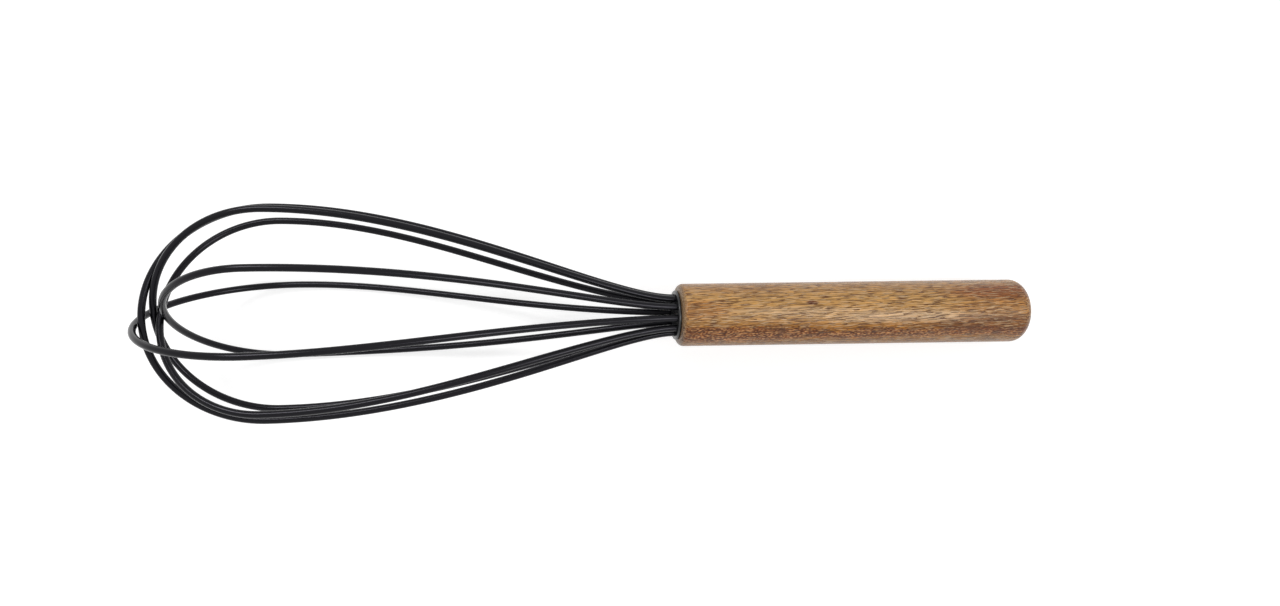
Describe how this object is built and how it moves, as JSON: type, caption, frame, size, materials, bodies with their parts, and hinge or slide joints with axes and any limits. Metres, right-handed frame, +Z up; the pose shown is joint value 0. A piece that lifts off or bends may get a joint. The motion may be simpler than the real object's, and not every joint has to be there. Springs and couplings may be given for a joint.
{
  "type": "balloon whisk",
  "caption": "Balloon whisk with black silicone-covered steel wire loops that enter a black plug in the mouth of a turned hardwood handle with rounded ends.",
  "frame": {"origin": "on the table, under the middle of the whisk's bounding box", "axes": "+X from the head towards the butt of the handle, +Z up from the table that the whisk lies on, +Y across the whisk"},
  "size_m": [0.2934, 0.0702, 0.0669],
  "materials": {
    "turned_wood": "oiled, with the grain along the handle",
    "moulded_plug": "moulded, satin",
    "adhesive": "cured epoxy",
    "spring_steel": "drawn wire",
    "silicone": "extruded tube, satin"
  },
  "bodies": {
    "root": {"handle": "turned_wood", "wire_plug": "moulded_plug", "epoxy_potting": "adhesive", "steel_wire_1": "spring_steel", "steel_wire_2": "spring_steel", "steel_wire_3": "spring_steel", "steel_wire_4": "spring_steel", "steel_wire_5": "spring_steel", "silicone_sleeve_1": "silicone", "silicone_sleeve_2": "silicone", "silicone_sleeve_3": "silicone", "silicone_sleeve_4": "silicone", "silicone_sleeve_5": "silicone"}
  },
  "joints": []
}
